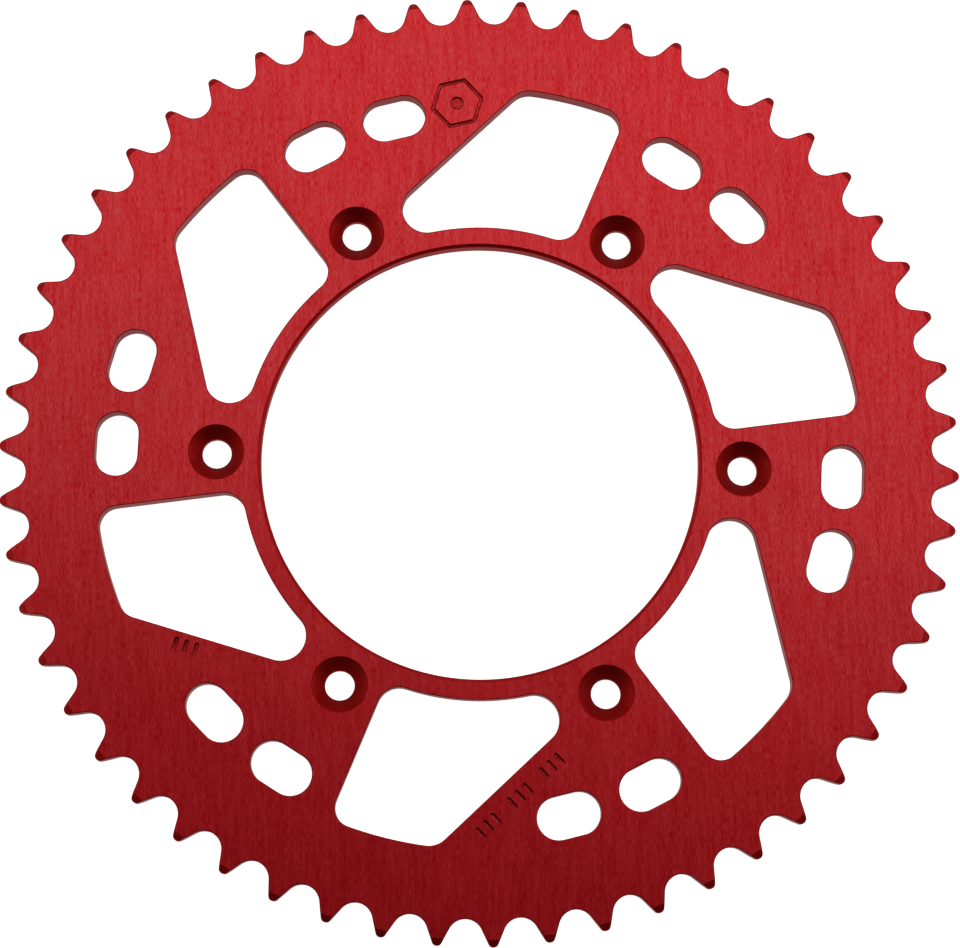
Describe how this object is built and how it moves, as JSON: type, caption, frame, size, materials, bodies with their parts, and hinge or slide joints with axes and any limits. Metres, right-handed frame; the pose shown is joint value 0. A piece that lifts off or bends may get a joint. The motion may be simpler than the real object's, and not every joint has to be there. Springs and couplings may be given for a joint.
{
  "type": "rear sprocket",
  "caption": "Flat toothed ring for a roller chain, with a large centre bore, a ring of countersunk bolt holes, slanted windows and paired lightening slots.",
  "frame": {"origin": "centre of the bore, on the flat back face that lies against the wheel hub", "axes": "+Z along the bore axis, out of the countersunk front face; +X through the centre of a bolt hole and through the tooth outside it"},
  "size_m": [0.2788, 0.2784, 0.006],
  "materials": {
    "red_anodised_aluminium": "brushed and anodised red"
  },
  "bodies": {
    "root": {"sprocket_plate": "red_anodised_aluminium"}
  },
  "joints": []
}
